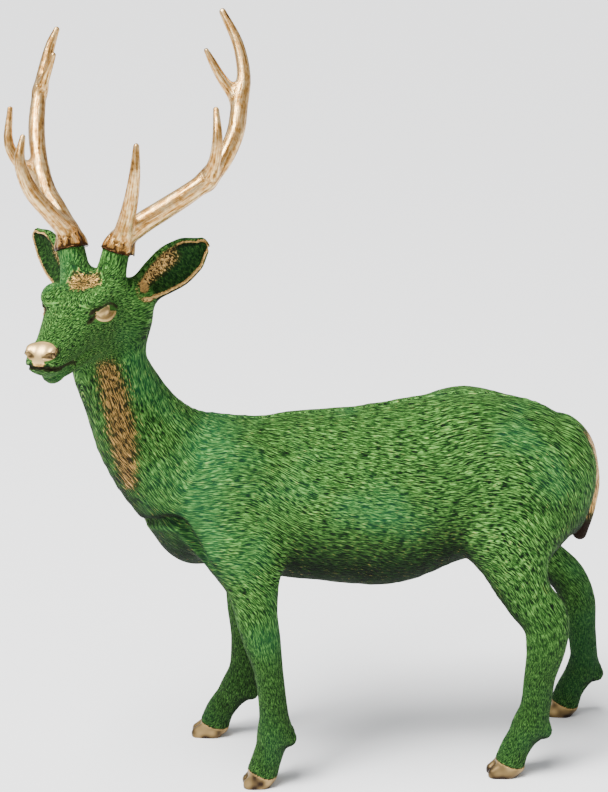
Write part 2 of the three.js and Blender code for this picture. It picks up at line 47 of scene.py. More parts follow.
def egg(centre, radii, blend, turn=(0, 0, 0), cut=False):
    """An ellipsoid turned about X, then Y, then Z, in degrees."""
    cx, cy, cz = np.cos(np.radians(turn))
    sx, sy, sz = np.sin(np.radians(turn))
    about_x = np.array([[1, 0, 0], [0, cx, -sx], [0, sx, cx]])
    about_y = np.array([[cy, 0, sy], [0, 1, 0], [-sy, 0, cy]])
    about_z = np.array([[cz, -sz, 0], [sz, cz, 0], [0, 0, 1]])
    axes = about_z @ about_y @ about_x
    radii = np.array(radii, float)

    def depth(p):
        return round_depth((p - centre) @ axes, radii)

    return dict(centre=np.array(centre, float), reach=radii.max(), depth=depth, blend=blend, cut=cut)


def round_depth(local, radii):
    far = np.linalg.norm(local / radii, axis=1)
    steep = np.linalg.norm(local / radii**2, axis=1)
    return far * (far - 1) / np.maximum(steep, 1e-9)


def smooth_line(points, steps=4):
    """A centripetal Catmull-Rom curve through the points."""
    p = np.array(points, float)
    p = np.vstack([2 * p[0] - p[1], p, 2 * p[-1] - p[-2]])
    out = []
    for p0, p1, p2, p3 in zip(p, p[1:], p[2:], p[3:]):
        d0, d1, d2 = (np.linalg.norm(b - a) ** 0.5 for a, b in ((p0, p1), (p1, p2), (p2, p3)))
        d1 = d1 if d1 > 1e-4 else 1.0
        d0 = d0 if d0 > 1e-4 else d1
        d2 = d2 if d2 > 1e-4 else d1
        m1 = ((p1 - p0) / d0 - (p2 - p0) / (d0 + d1) + (p2 - p1) / d1) * d1
        m2 = ((p2 - p1) / d1 - (p3 - p1) / (d1 + d2) + (p3 - p2) / d2) * d1
        for t in np.arange(steps) / steps:
            square, cube = -3 * p1 + 3 * p2 - 2 * m1 - m2, 2 * p1 - 2 * p2 + m1 + m2
            out.append(p1 + m1 * t + square * t**2 + cube * t**3)
    return np.array(out + [p[-2]])


def roll(stations, blend, side=(0, 1, 0), cut=False):
    """A roll along a smooth curve: each station is (x, y, z, radius along side, radius across it)."""
    full = [tuple(s) + (s[3],) * (5 - len(s)) for s in stations]
    line = smooth_line([s[:3] for s in full])
    girth = smooth_line([s[3:] for s in full])
    start, along = line[:-1], np.diff(line, axis=0)
    length = np.linalg.norm(along, axis=1)
    along = along / length[:, None]
    across = np.cross(along, side)
    across /= np.linalg.norm(across, axis=1)[:, None]
    level = np.cross(across, along)

    def nearest(p):
        best = np.full(len(p), np.inf)
        which = np.zeros(len(p), int)
        share = np.zeros(len(p))
        for k in range(len(start)):
            d = p - start[k]
            t = np.clip(d @ along[k] / length[k], 0, 1)
            away = ((d - (t * length[k])[:, None] * along[k]) ** 2).sum(1)
            closer = away < best
            best[closer], which[closer], share[closer] = away[closer], k, t[closer]
        return which, share

    def depth(p):
        k, t = nearest(p)
        d = p - start[k] - (t * length[k])[:, None] * along[k]
        local = np.stack([(d * axis[k]).sum(1) for axis in (level, across, along)], 1)
        r = girth[k] + (girth[k + 1] - girth[k]) * t[:, None]
        return round_depth(local, np.column_stack([r, r.min(1)]))

    low, high = line.min(0), line.max(0)
    reach = np.linalg.norm(high - low) / 2 + max(max(s[3:]) for s in full)
    return dict(centre=(low + high) / 2, reach=reach, depth=depth, blend=blend, cut=cut,
                nearest=nearest, axes=(start, along, across, level, length, girth))


def smooth_min(a, b, k):
    h = np.maximum(k - np.abs(a - b), 0) / k
    return np.minimum(a, b) - h * h * k / 4


def pressed(lumps):
    """The depth of lumps pressed together one after another; a cut lump is taken away."""
    def depth(p):
        d = np.full(len(p), 1e3)
        for l in lumps:
            away = np.linalg.norm(p - l["centre"], axis=1) - l["reach"]
            near = away < (2 * l["blend"] if l["cut"] else d + l["blend"])
            if near.any():
                there = l["depth"](p[near])
                sign = -1 if l["cut"] else 1
                d[near] = sign * smooth_min(sign * d[near], there, l["blend"])
        return d
    return depth


def foot(fetlock, toe_tip, length):
    """Pastern, two toes and two dewclaws."""
    fetlock = np.array(fetlock, float)
    tip = np.array([*toe_tip, 0.0])
    heading = (tip - fetlock) * (1, 1, 0)
    heading /= np.linalg.norm(heading)
    out = np.array([-heading[1], heading[0], 0.0])

    def at(base, forward, sideways, up):
        return tuple(base + heading * forward + out * sideways + np.array([0, 0, up]))

    lumps = [roll([(*fetlock, 11.5, 13), (*at(tip, -length * 0.72, 0, 25), 11, 12.5),
                   (*at(tip, -length * 0.6, 0, 13), 11.5, 13)], 8, out)]
    for toe in (-1, 1):
        lumps.append(roll([(*at(tip, -length * 0.72, toe * 4.6, 11), 5.8, 8),
                           (*at(tip, -length * 0.5, toe * 5.2, 6), 6.2, 10),
                           (*at(tip, -length * 0.2, toe * 4.4, 1), 5, 7)], 2.5, out))
        lumps.append(egg(at(fetlock, -12, toe * 5, -4), (5.5, 4, 7), 4))
    return lumps


TAIL = roll([(220, 0, 290, 8, 7), (237, 0, 273, 9, 7), (244.5, 0, 246, 10, 7), (242, 0, 218, 9, 7),
             (236.5, 0, 196, 8, 6.5)], 6)
body_lumps = [
    roll([(-92, 0, 241, 37, 49), (-60, 0, 243, 45, 60), (-20, 0, 239.5, 52, 70), (22, 0, 237, 57, 74),
          (65, 0, 236.5, 59, 78), (105, 0, 246.5, 56, 74), (145, 0, 253, 51, 70.5), (185, 0, 255.5, 45, 60.5),
          (210, 0, 254, 37, 49)], 1),  # barrel
    roll([(-74, 0, 251, 42, 53), (-106, 0, 268, 37, 51), (-130, 0, 294, 31, 42), (-146, -1, 325, 26, 34),
          (-157, -3, 354, 23, 31), (-158, -6, 386, 22, 30)], 22),  # neck
    egg((-146, -5, 398), (23, 25, 22), 18),  # nape
    egg((-89, 0, 214), (30, 25, 31), 18),  # brisket
    TAIL,
]
for side in (-1, 1):
    body_lumps += [
        egg((-64, side * 33, 246), (30, 15, 50), 16, (0, 18, 0)),  # shoulder blade
        egg((-52, side * 38, 206), (31, 16, 32), 16),  # upper arm
        egg((182, side * 30, 240), (42, 22, 56), 18, (0, -14, 0)),  # haunch
        egg((154, side * 38, 208), (25, 15, 32), 16, (0, -20, 0)),  # stifle
        egg((138, side * 25, 301), (26, 13, 16), 22),  # point of the hip
        egg((221, side * 17, 244), (19, 17, 44), 12),  # buttock
    ]
# A crease on each side parts the brisket from the neck and the shoulder.
CREASE = [(-134, 4, 222, 3), (-124, 26, 227, 4), (-116, 33, 230, 4.5), (-105, 39, 230, 5), (-97, 41, 218, 5),
          (-87, 44, 203, 4.5), (-78, 49, 193, 3)]
folds = [roll([(x, side * y, z, r) for x, y, z, r in CREASE], 3, cut=True) for side in (-1, 1)]
body_lumps += folds


def brisket_fold(p):
    return np.minimum(folds[0]["depth"](p), folds[1]["depth"](p))


LEGS = {
    "left_fore": ([(-53, -38, 205, 17, 28), (-47, -44, 176, 15, 22), (-44, -47, 150, 13, 17.5),
                   (-39, -48, 126, 12.5, 15.5), (-34, -49, 100, 10, 12), (-31, -49, 72, 10, 12),
                   (-29, -49, 47, 11.5, 13.5)], (-57, -49), 29),
    "right_fore": ([(-55, 38, 205, 17, 28), (-50, 42, 176, 15, 22), (-48, 43, 148, 13, 17),
                    (-48, 43, 122, 12.5, 15), (-48, 43, 96, 10, 12), (-49, 43, 70, 10, 12),
                    (-53, 45, 47, 11.5, 14.5)], (-98, 51), 40),
    "left_hind": ([(170, -40, 208, 20, 36), (172, -46, 182, 16, 27), (181, -50, 160, 13, 21),
                   (196, -53, 138, 12, 20), (197, -54, 114, 11, 17), (193, -53, 88, 10, 13.5),
                   (191, -53, 66, 10, 13), (187, -53, 45, 11.5, 14.5)], (149, -52), 36),
    "right_hind": ([(190, 36, 208, 20, 34), (200, 42, 182, 16, 21), (218, 46, 160, 13, 16.5),
                    (242, 49, 136, 12, 16.5), (253, 50, 112, 11, 15.5), (257, 50, 86, 10, 13),
                    (260, 50, 64, 10, 12.5), (262, 53, 46, 11.5, 13.5)], (228, 58), 31),
}
for stations, toe_tip, hoof in LEGS.values():
    body_lumps += [roll(stations, 12), *foot(stations[-1][:3], toe_tip, hoof)]

# The head is worked in a frame of its own: forward to the nose, left and up, from the point between the
# eyes. It turns 65 degrees to the stag's left and dips 15. Only its left half is given; the right mirrors it.
FACE_TURN, NOSE_DROP = math.radians(25), math.radians(15)
BETWEEN_EYES = np.array([-181.3, -42, 406.7])
facing = np.array([-math.sin(FACE_TURN), -math.cos(FACE_TURN), 0.0])
leftward = np.cross((0, 0, 1), facing)
forward = facing * math.cos(NOSE_DROP) - np.array([0, 0, math.sin(NOSE_DROP)])
HEAD = np.stack([forward, leftward, np.cross(forward, leftward)])
EAR_ROOT, EAR_TIP = np.array([-43.0, 26, -9]), np.array([-91.0, 78, 23])
PEDICLE_FOOT, PEDICLE_TOP = np.array([-34.0, 13, 6]), np.array([-46.0, 20, 30.5])


def to_head(p):
    return (p - BETWEEN_EYES) @ HEAD.T


def from_head(p):
    return np.asarray(p, float) @ HEAD + BETWEEN_EYES


ear_along = (EAR_TIP - EAR_ROOT) / np.linalg.norm(EAR_TIP - EAR_ROOT)
ear_open = np.array([0.9, 0.42, 0.12])
ear_open -= ear_along * (ear_open @ ear_along)
ear_open /= np.linalg.norm(ear_open)
ear_across = np.cross(ear_open, ear_along)


def on_ear(share, out, *radii):
    return (*(EAR_ROOT + (EAR_TIP - EAR_ROOT) * share + ear_open * out), *radii)


EYE_DEGREES = 14  # the front corner of the eye is the higher
EYE_SLANT = math.radians(EYE_DEGREES)
EYE_SOCKET = egg((0, 27.5, 1), (12.5, 6.5, 6.6), 1.5, (0, -EYE_DEGREES, 0), cut=True)
EYEBALL = egg((-1.3, 18.4, 1), (11.3, 8.2, 6.4), 0.5, (0, -EYE_DEGREES, 0))
EAR = roll([on_ear(-0.1, -3, 12, 10), on_ear(0.12, -3, 12, 9), on_ear(0.34, -4, 16, 9),
            on_ear(0.56, -4, 18.5, 9), on_ear(0.78, -3, 15.5, 7.5), on_ear(0.94, -1, 7, 4)], 7, ear_across)
EAR_HOLLOW = roll([on_ear(0.12, 5, 6, 6), on_ear(0.34, 5, 12.5, 9.5), on_ear(0.56, 5, 15.5, 10.5),
                   on_ear(0.78, 4, 12.5, 8.5), on_ear(0.9, 3, 5, 5)], 2, ear_across, cut=True)


def lid(start, end, opening, thickness):
    """A roll along the rim of the eye, from one angle to another, seen from the left."""
    stations = []
    for angle in np.radians(np.linspace(start, end, 7)):
        swell = abs(math.sin(angle))
        ahead, up = 11.4 * math.cos(angle), opening * math.sin(angle)
        stations.append((ahead * math.cos(EYE_SLANT) - up * math.sin(EYE_SLANT) - 1.3,
                         24.2 - 2.6 * math.cos(angle) + 1.8 * swell,
                         ahead * math.sin(EYE_SLANT) + up * math.cos(EYE_SLANT) + 1,
                         0.6 + (thickness - 0.6) * swell))
    return roll(stations, 1, (0, 1, 0))


UPPER_LID = lid(4, 176, 6.1, 1.8)
LOWER_LID = lid(-8, -172, 5.8, 1.4)
NOSTRIL = roll([(67.5, 4.5, -4, 1.5), (65.5, 8.5, -4, 2.4), (62, 12, -3.4, 2.6), (57, 13.6, -1.6, 1.6),
                (53.5, 13, 1, 0.8)], 0.8, (0, 0, 1), cut=True)
half_head = [
    roll([(-40, 0, -6, 24, 22), (-18, 0, -6, 28.5, 22.5), (2, 0, -7, 26.5, 21), (22, 0, -9, 21, 17.5),
          (42, 0, -11, 15.5, 15), (56, 0, -11.5, 13.5, 13.5)], 1),  # skull
    roll([(-16, 0, -30, 16, 14), (10, 0, -31, 12.5, 10), (34, 0, -29.5, 9.5, 8),
          (51, 0, -26.5, 8, 6.5)], 6),  # jaw
    egg((-12, 14, -20), (21, 11, 17), 10),  # cheek
    egg((-4, 20.5, 11.5), (14, 8.5, 6), 7, (0, 8, -12)),  # brow
    EYE_SOCKET,
    EYEBALL,
    roll([(*PEDICLE_FOOT, 14.5), (-40, 17, 22, 11.5), (-48, 22, 42, 11)], 7, (1, 0, 0)),  # pedicle
    EAR,
    EAR_HOLLOW,
    egg((59, 8.6, -3.5), (7, 5, 4.8), 3),  # wing of the nose
    NOSTRIL,
]
# The small carving of the face, too fine for the solid.
MOUTH = roll([(70, 0, -12.6, 1.2), (68, 6, -13.5, 1.4), (65, 12, -15.2, 1.6), (60, 14.3, -16.8, 1.7),
              (53, 12.7, -18.8, 1.7), (45, 11.2, -21.5, 1.7), (37, 10.1, -24.5, 1.5), (31, 9.7, -28, 1.2)],
             0.8, (0, 0, 1), cut=True)
TEAR_GROOVE = roll([(10, 22.2, 2.8, 1.2), (14, 20.8, 1.5, 1.5), (19, 19, 0.4, 0.8)], 1, (0, 0, 1), cut=True)
half_head += [
    UPPER_LID,
    LOWER_LID,
    TEAR_GROOVE,
    egg((50, 0, -29), (8.5, 7.5, 6), 3),  # chin
    egg((58.5, 6.5, -14), (8.5, 8.5, 6.5), 4),  # upper lip
    MOUTH,
]
half_depth = pressed(half_head)


def mirrored(p):
    local = to_head(p)
    local[:, 1] = np.abs(local[:, 1])
    return local


body_lumps.append(dict(centre=from_head((-15, 0, 0)), reach=125, blend=14, cut=False,
                       depth=lambda p: half_depth(mirrored(p))))
body_depth = pressed(body_lumps)


def select_only(obj):
    bpy.ops.object.select_all(action="DESELECT")
    obj.select_set(True)
    bpy.context.view_layer.objects.active = obj


def fine_copy(node, name, voxel):
    """A copy of a CAD node, merged and remeshed to small even faces."""
    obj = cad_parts[node].copy()
    obj.data = obj.data.copy()
    obj.name = obj.data.name = name
    obj.parent = None
    for key in list(obj.keys()):
        if key.startswith("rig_"):
            del obj[key]
    bpy.context.scene.collection.objects.link(obj)
    select_only(obj)
    bpy.ops.object.mode_set(mode="EDIT")
    bpy.ops.mesh.select_all(action="SELECT")
    bpy.ops.mesh.remove_doubles(threshold=1e-6)
    bpy.ops.object.mode_set(mode="OBJECT")
    remesh = obj.modifiers.new("remesh", "REMESH")
    remesh.mode = "VOXEL"
    remesh.voxel_size = voxel
    bpy.ops.object.modifier_apply(modifier="remesh")
    return obj


def places(obj):
    """The vertices in modelling millimetres."""
    flat = np.empty(len(obj.data.vertices) * 3)
    obj.data.vertices.foreach_get("co", flat)
    return flat.reshape(-1, 3) * 1000 + ORIGIN


def put_back(obj, p):
    obj.data.vertices.foreach_set("co", ((p - ORIGIN) / 1000).ravel())
    obj.data.update()


def outward(obj):
    flat = np.empty(len(obj.data.vertices) * 3)
    obj.data.vertex_normals.foreach_get("vector", flat)
    return flat.reshape(-1, 3)


def slope(depth, p, step=0.15):
    ahead = [depth(p + step * axis) for axis in np.eye(3)]
    behind = depth(p)
    return behind, np.stack([(a - behind) / step for a in ahead], 1)


def drawn_on(depth, p, rounds=5, limit=1.5):
    """The points moved along the slope on to the clay's surface."""
    for _ in range(rounds):
        d, g = slope(depth, p)
        move = np.clip(d, -limit, limit) / np.maximum((g * g).sum(1), 0.25)
        p = p - g * move[:, None]
    return p


def wobble(p, seed):
    """Smooth noise from -1 to 1 at points whose unit is one bump; p has two or three columns."""
    cell = np.floor(p).astype(np.int64)
    f = p - cell
    f = f * f * (3 - 2 * f)
    total = np.zeros(len(p))
    for corner in np.ndindex(*(2,) * p.shape[1]):
        c = cell + np.array(corner)
        h = (c * np.array([73856093, 19349663, 83492791])[: p.shape[1]]).sum(1) + seed * 2654435761
        h = (h ^ (h >> 13)) * 1274126177 & 0x7FFFFFFF
        weight = np.prod(np.where(corner, f, 1 - f), axis=1)
        total += weight * (h % 65521 / 32760.5 - 1)
    return total


def refined(obj, chosen):
    """Cuts the faces whose corners are all chosen in four."""
    select_only(obj)
    bpy.ops.object.mode_set(mode="EDIT")
    bpy.ops.mesh.select_mode(type="FACE")
    bpy.ops.mesh.select_all(action="DESELECT")
    mesh = bmesh.from_edit_mesh(obj.data)
    for face in mesh.faces:
        face.select = all(chosen[v.index] for v in face.verts)
    bmesh.update_edit_mesh(obj.data)
    bpy.ops.mesh.subdivide(number_cuts=1)
    bpy.ops.object.mode_set(mode="OBJECT")


def gentle(x, low, high):
    """0 below low, 1 above high, and smooth between."""
    t = np.clip((x - low) / (high - low), 0, 1)
    return t * t * (3 - 2 * t)


body = fine_copy("stag_body", "stag_body_carved", 0.0027)
skin = drawn_on(body_depth, places(body), 3)
put_back(body, skin)
near_face = mirrored(skin)
in_head = np.linalg.norm((near_face - (12, 0, -8)) / (62, 40, 34), axis=1) < 1
in_head |= EAR["depth"](near_face) < 2
in_head |= np.linalg.norm((near_face - (-38, 16, 16)) / (22, 20, 24), axis=1) < 1
hooves = skin[:, 2] < 20
refined(body, in_head | hooves)
skin = places(body)
near_face = mirrored(skin)
detailed = np.linalg.norm((near_face - (1, 24, 1)) / (15, 12, 12), axis=1) < 1  # eyes
detailed |= np.linalg.norm((near_face - (61, 6, -13)) / (16, 14, 18), axis=1) < 1  # nose and mouth
detailed |= np.linalg.norm((near_face - (-16, 0, 15)) / (22, 18, 10), axis=1) < 1  # forehead
detailed |= (EAR["depth"](near_face) < 1) & (EAR_HOLLOW["depth"](near_face) < 2.5)
refined(body, detailed)
skin = drawn_on(body_depth, places(body), 4, 1.0)
# The soles and the seats of the antlers stay flat.
skin[:, 2] = np.maximum(skin[:, 2], 0)
seat_axis = (PEDICLE_TOP - PEDICLE_FOOT) / np.linalg.norm(PEDICLE_TOP - PEDICLE_FOOT)
for side in (-1, 1):
    top, axis = from_head(PEDICLE_TOP * (1, side, 1)), seat_axis * (1, side, 1) @ HEAD
    above = (skin - top) @ axis
    beside = np.linalg.norm(skin - top - above[:, None] * axis, axis=1)
    cap = (above > 0) & (above < 25) & (beside < 16)
    skin[cap] -= above[cap, None] * axis
put_back(body, skin)

# Which way the fur was combed with the modelling tool: each line is a place on the left side and the
# way the fur lies there, seen from the side (x, z). The right side is combed alike.
BACK = [
    (-62, -15, 305, 1, -0.1), (36, -12, 309, 1, -0.05), (118, -15, 321, 1, 0.05),
    (189, -20, 309, 0.9, -0.4), (220, -33, 276, 0.45, -0.85), (232, -33, 245, 0.2, -0.95),
    (170, -4, 318, 1, -0.15), (70, -2, 312, 1, 0),
]
SHOULDER = [
    (-77, -39, 287, 0.9, 0.4), (-52, -48, 276, 1, 0), (-26, -50, 255, 0.65, -0.75),
    (-90, -46, 256, 0.95, 0.26), (-93, -44, 222, 1, 0.08), (-58, -57, 212, 0.97, -0.2),
    (-32, -54, 202, 0.55, -0.8), (-75, -52, 236, 1, 0.1),
]
FLANK = [
    (-8, -46, 274, 0.93, -0.3), (16, -51, 267, 1, -0.1), (63, -58, 250, 1, -0.15),
    (15, -54, 217, 0.95, -0.3), (-8, -40, 191, 0.7, -0.65), (59, -40, 180, 0.65, -0.66),
    (109, -37, 188, 0.6, -0.66), (90, -57, 220, 0.95, -0.3),
]
HAUNCH = [
    (117, -55, 247, 1, -0.1), (126, -47, 287, 0.92, 0.4), (146, -45, 296, 1, 0.1),
    (167, -45, 291, 0.92, -0.4), (154, -53, 254, 1, -0.05), (138, -53, 221, 1, -0.06),
    (191, -50, 269, 0.77, -0.63), (199, -52, 218, 0.66, -0.75), (166, -61, 196, 0.73, -0.68),
    (193, -55, 184, 0.55, -0.8), (180, -63, 162, 0.4, -0.9),
]
NECK = [
    (-150, -26, 331, 0.45, -0.89), (-143, -29, 298, 0.65, -0.75), (-122, -21, 329, 0.4, -0.9),
    (-115, -30, 298, 0.62, -0.78), (-99, -24, 304, 0.7, -0.7), (-104, -39, 271, 0.5, -0.82),
    (-120, -36, 258, 0.55, -0.8), (-128, -18, 222, 0.7, -0.6), (-114, -19, 202, 0.66, -0.75),
    (-157, -26, 347, 0.45, -0.89), (-125, 0, 365, 0.25, -0.97), (-92, 0, 306, 0.85, -0.5),
    (-175, -10, 345, 0.2, -0.98), (-160, -8, 290, 0.4, -0.9),
]
BELLY = [(60, 0, 160, 1, 0), (0, 0, 168, 1, 0), (110, 0, 172, 1, 0.1), (-60, 0, 185, 1, -0.1)]
comb = []
for x, y, z, along, up in BACK + SHOULDER + FLANK + HAUNCH + NECK + BELLY:
    comb += [(x, side * y, z, along, 0, up) for side in (1, -1)]
for stations, toe_tip, hoof in LEGS.values():
    joints = np.array([s[:3] for s in stations[2:]] + [(*toe_tip, 0)], float)
    comb += [(*lower, *(lower - upper)) for upper, lower in zip(joints, joints[1:])]
tail_line = np.array([(220, 0, 290), (240, 0, 265), (246, 0, 240), (243, 0, 215), (236, 0, 196)], float)
comb += [(*(lower + (12, 0, 0)), *(lower - upper)) for upper, lower in zip(tail_line, tail_line[1:])]
# On the head it lies back from the nose, up the pedicles and out along the ears.
FACE_COMB = [
    (60, 10, -5, -1, 0.1, 0.1), (60, 0, 2, -1, 0, 0.1), (30, 16, -10, -1, 0.15, 0),
    (30, 0, 9, -1, 0, 0.1), (2, 28, -8, -1, 0.2, -0.1), (-6, 22, 16, -0.9, 0.3, 0.3),
    (-25, 28, -10, -1, 0.2, -0.3), (-20, 6, 15, -0.9, 0.1, 0.4), (-42, 10, 18, -0.8, 0, 0.6),
    (20, 10, -36, -1, 0.1, -0.1), (-20, 18, -34, -0.8, 0.1, -0.6), (-44, 20, 24, -0.35, 0.2, 0.9),
    (-36, 16, 10, -0.6, 0.2, 0.75), (-58, 8, -14, -0.5, 0, -0.85), (-46, 24, -24, -0.7, 0.1, -0.7),
]
ear_comb = [(*(EAR_ROOT + (EAR_TIP - EAR_ROOT) * share), *ear_along) for share in (0.1, 0.5, 0.9)]
for f, l, u, *way in FACE_COMB + ear_comb:
    for side in (1, -1):
        comb.append((*from_head((f, side * l, u)), *(np.array(way) * (1, side, 1) @ HEAD)))
comb = np.array(comb, float)
comb[:, 3:] /= np.linalg.norm(comb[:, 3:], axis=1)[:, None]


def combed_ways(p, n):
    """The fur's way at each point, and the way across it, both lying on the surface."""
    apart = (p * p).sum(1)[:, None] + (comb[:, :3] ** 2).sum(1) - 2 * p @ comb[:, :3].T
    way = (1 / (np.maximum(apart, 0) + 60) ** 2) @ comb[:, 3:]
    way /= np.linalg.norm(way, axis=1)[:, None]
    way -= n * (way * n).sum(1)[:, None]
    way /= np.maximum(np.linalg.norm(way, axis=1)[:, None], 0.2)
    # Left and right are combed alike, so the two sides meet in a parting down the middle.
    turned = math.pi / 2 - FACE_TURN
    turned = turned * gentle(p[:, 2], 270, 385) * (p[:, 0] < -70)
    left = np.stack([np.sin(turned), -np.cos(turned), np.zeros(len(p))], 1)
    handed = np.where((n * left).sum(1) > 0, -1.0, 1.0)
    return way, np.cross(n, way) * handed[:, None]


def laid_out(p, edges, ways, start, rounds):
    """Distances along and across the fur, as near as the curved skin allows, by conjugate gradients."""
    a, b = edges.T

    def at_ends(flow):
        return np.stack([np.bincount(b, f, len(p)) - np.bincount(a, f, len(p)) for f in flow.T], 1)

    run = p[b] - p[a]
    want = np.stack([((way[a] + way[b]) * run).sum(1) / 2 for way in ways], 1)
    x = start.copy()
    degree = np.maximum(np.bincount(edges.ravel(), minlength=len(p)), 1)[:, None]
    left_over = at_ends(want - (x[b] - x[a]))
    lean = left_over / degree
    step_way = lean.copy()
    size = (left_over * lean).sum(0)
    for _ in range(rounds):
        push = at_ends(step_way[b] - step_way[a])
        step = size / np.maximum((step_way * push).sum(0), 1e-12)
        x += step_way * step
        left_over -= push * step
        lean = left_over / degree
        new_size = (left_over * lean).sum(0)
        step_way = lean + step_way * (new_size / size)
        size = new_size
    return x


def solid_box(node):
    """The corners of the solid's box, in modelling millimetres."""
    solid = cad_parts[node]
    corners = np.array([solid.matrix_world @ Vector(c) for c in solid.bound_box]) * 1000 + ORIGIN
    return corners.min(0), corners.max(0)


def edges_of(obj):
    flat = np.empty(len(obj.data.edges) * 2, np.int64)
    obj.data.edges.foreach_get("vertices", flat)
    return flat.reshape(-1, 2)


# Worked out first on a coarse copy of the skin, then on the fine one.
coarse = fine_copy("stag_body", "coarse skin", 0.009)
p, n = places(coarse), outward(coarse)
ways = combed_ways(p, n)
coarse_lie = laid_out(p, edges_of(coarse), ways, np.zeros((len(p), 2)), 600)
nearby = KDTree(len(p))
for number, spot in enumerate(p):
    nearby.insert(spot, number)
nearby.balance()
nearest = np.array([nearby.find(spot)[1] for spot in skin])
offset = skin - p[nearest]
start = coarse_lie[nearest] + np.stack([(way[nearest] * offset).sum(1) for way in ways], 1)
bpy.data.objects.remove(coarse)
normal = outward(body)
lie = laid_out(skin, edges_of(body), combed_ways(skin, normal), start, 200)

# How much fur shows, and how short it is: the eyes, nose and hooves are smooth.
near_face = mirrored(skin)
on_eye = np.linalg.norm((near_face - (-1, 23, 1)) / (13, 11, 7.5), axis=1)
nose_pad = np.linalg.norm((near_face - (64, 0, -2.5)) / (13.5, 15.5, 7.5), axis=1)
toe_height = np.full(len(skin), 100.0)
# The cleft between the toes gets painted shade.
cleft_shade = np.zeros(len(skin))
for stations, toe_tip, hoof in LEGS.values():
    ahead = np.array(toe_tip, float) - stations[-1][:2]
    ahead /= np.linalg.norm(ahead)
    forward_by = (skin[:, :2] - toe_tip) @ ahead
    near_toe = np.linalg.norm(skin[:, :2] - toe_tip, axis=1) < 45
    line = 9 + 6 * gentle(forward_by, -hoof * 0.8, -4)
    toe_height = np.where(near_toe, skin[:, 2] - line, toe_height)
    off_middle = np.abs((skin[:, :2] - toe_tip) @ (-ahead[1], ahead[0]))
    in_cleft = (1 - gentle(off_middle, 1.2, 3.2)) * (1 - gentle(skin[:, 2], 12, 18))
    in_cleft *= gentle(forward_by, -hoof * 0.6, -hoof * 0.4)
    cleft_shade = np.maximum(cleft_shade, in_cleft * near_toe)
bare = np.maximum.reduce([1 - gentle(on_eye, 0.95, 1.15), 1 - gentle(nose_pad, 0.9, 1.05),
                          1 - gentle(toe_height, -1, 1),
                          (1 - gentle(EAR_HOLLOW["depth"](near_face), 0.5, 3)) * 0.4])
height_on_leg = 1 - gentle(skin[:, 2], 90, 175)
in_face = 1 - gentle(np.linalg.norm((near_face - (10, 0, -8)) / (75, 50, 50), axis=1), 0.8, 1.2)
short = np.maximum.reduce([height_on_leg * 0.7, in_face, 1 - gentle(EAR["depth"](near_face), 1, 8)])

# Locks of fur in clumps, in low relief, pressed inward so that the form keeps its size.
clumps = wobble(np.column_stack([lie[:, 0] / 17, lie[:, 1] / 7]), 1) + 0.6 * wobble(lie / (30, 14), 2)
skin = skin + normal * ((clumps * 0.35 - 0.35) * (1 - bare) * (1 - 0.7 * short))[:, None]

# Where the brush left gold, from 0 to 1, with soft edges that the fur makes ragged. Inside the ears and on
# the forehead the strokes are laid out afresh, in a way of their own.
along_eye = (near_face[:, [0, 2]] + (1.3, -1)) @ (math.cos(EYE_SLANT), math.sin(EYE_SLANT))
above_eye = (near_face[:, [0, 2]] + (1.3, -1)) @ (-math.sin(EYE_SLANT), math.cos(EYE_SLANT))
almond = np.hypot(along_eye / 10.8, above_eye / 5.2)
eyeball_gold = (1 - gentle(EYEBALL["depth"](near_face), 0.2, 0.6)) * (1 - gentle(almond, 0.95, 1.05))
lid_gold = (1 - gentle(LOWER_LID["depth"](near_face), 0.1, 0.6)) * (1 - gentle(above_eye, -2.5, -0.5))
nose_gold = (1 - gentle(nose_pad, 0.8, 1.0)) * gentle(near_face[:, 2], -9, -5)
lip_gold = (1 - gentle(np.linalg.norm((near_face - (69, 0, -8)) / (7, 6.5, 6), axis=1), 0.5, 1.1)) * 0.7
in_ear = near_face - EAR_ROOT
up_ear, across_ear = in_ear @ ear_along, in_ear @ (ear_across * np.sign(ear_across[2]))
deep, hollow = -EAR["depth"](near_face), EAR_HOLLOW["depth"](near_face)
rim_gold = (1 - gentle(deep, 0.8, 2.8)) * (1 - gentle(np.abs(hollow), 0.8, 2.4))
rim_gold *= 0.35 + 0.65 * np.maximum(gentle(up_ear, 48, 68), gentle(-across_ear, 0, 8))
inside_ear = (1 - gentle(np.abs(hollow), 0.5, 1.5)) * gentle(deep, 0.5, 2)
tufts = inside_ear * gentle(across_ear, -6, 5) * (1 - gentle(up_ear, 42, 62))
lie = np.where(inside_ear[:, None] > 0.5, np.column_stack([across_ear, up_ear * 0.5]), lie)
ear_gold = np.maximum(rim_gold * 0.9, 0.45 * tufts)
ear_root_gold = 1 - gentle(np.linalg.norm(near_face - (-51, 35, 0), axis=1), 3, 8)
THROAT = roll([(-158, -27, 354, 14), (-152, -28, 323, 16), (-149, -28, 298, 16), (-146, -26, 262, 12)], 1)
throat_gold = 1 - gentle(THROAT["depth"](skin), -12, 4)
tail_gold = (1 - gentle(TAIL["depth"](skin), 5, 15)) * gentle(normal[:, 0], -0.2, 0.3)
tail_gold *= gentle(skin[:, 2], 205, 222) * (1 - gentle(skin[:, 2], 280, 298))
hoof_gold = 1 - gentle(toe_height, -1.5, 1.5)
